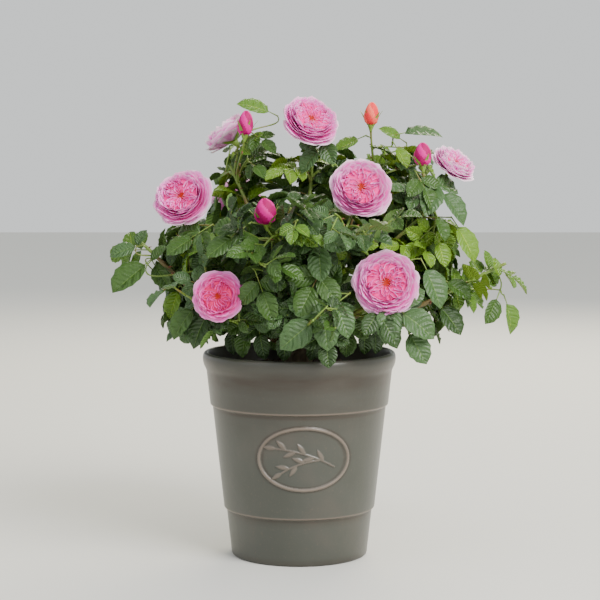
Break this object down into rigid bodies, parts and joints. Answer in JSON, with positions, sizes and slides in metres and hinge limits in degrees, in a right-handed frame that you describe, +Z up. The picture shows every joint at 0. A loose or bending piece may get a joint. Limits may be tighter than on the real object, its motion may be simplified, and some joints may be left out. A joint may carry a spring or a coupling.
{
  "type": "rose bush in a pot",
  "caption": "Shrub rose with full pink rosette blooms and buds over dark green leaves, standing in a tapered glazed stoneware pot with an oval relief.",
  "frame": {"origin": "centre of the pot's flat underside", "axes": "+Z up, -Y towards the viewer, who faces the relief on the pot, +X to the viewer's right"},
  "size_m": [0.4707, 0.3906, 0.5245],
  "materials": {
    "glaze": "satin",
    "compost": "rough",
    "bark": "matte",
    "foliage": "matte",
    "petal": "soft"
  },
  "bodies": {
    "root": {"pot": "glaze", "soil": "compost", "trunk": "bark", "cane_top": "bark", "cane_upper_left": "bark", "cane_upper_right": "bark", "cane_right_high": "bark", "cane_left_high": "bark", "cane_front_left": "bark", "cane_front_right": "bark", "cane_low_left": "bark", "cane_low_front": "bark", "cane_low_right": "bark", "cane_left_arm": "bark", "cane_right_arm": "bark", "cane_left_low": "bark", "cane_right_low": "bark", "cane_back_left": "bark", "cane_back_right": "bark", "cane_back_low": "bark", "cane_core": "bark", "foliage_top": "foliage", "foliage_upper_left": "foliage", "foliage_upper_right": "foliage", "foliage_right_high": "foliage", "foliage_left_high": "foliage", "foliage_front_left": "foliage", "foliage_front_right": "foliage", "foliage_low_left": "foliage", "foliage_low_front": "foliage", "foliage_low_right": "foliage", "foliage_left_arm": "foliage", "foliage_right_arm": "foliage", "foliage_left_low": "foliage", "foliage_right_low": "foliage", "foliage_back_left": "foliage", "foliage_back_right": "foliage", "foliage_back_low": "foliage", "foliage_core": "foliage"}
  },
  "joints": []
}
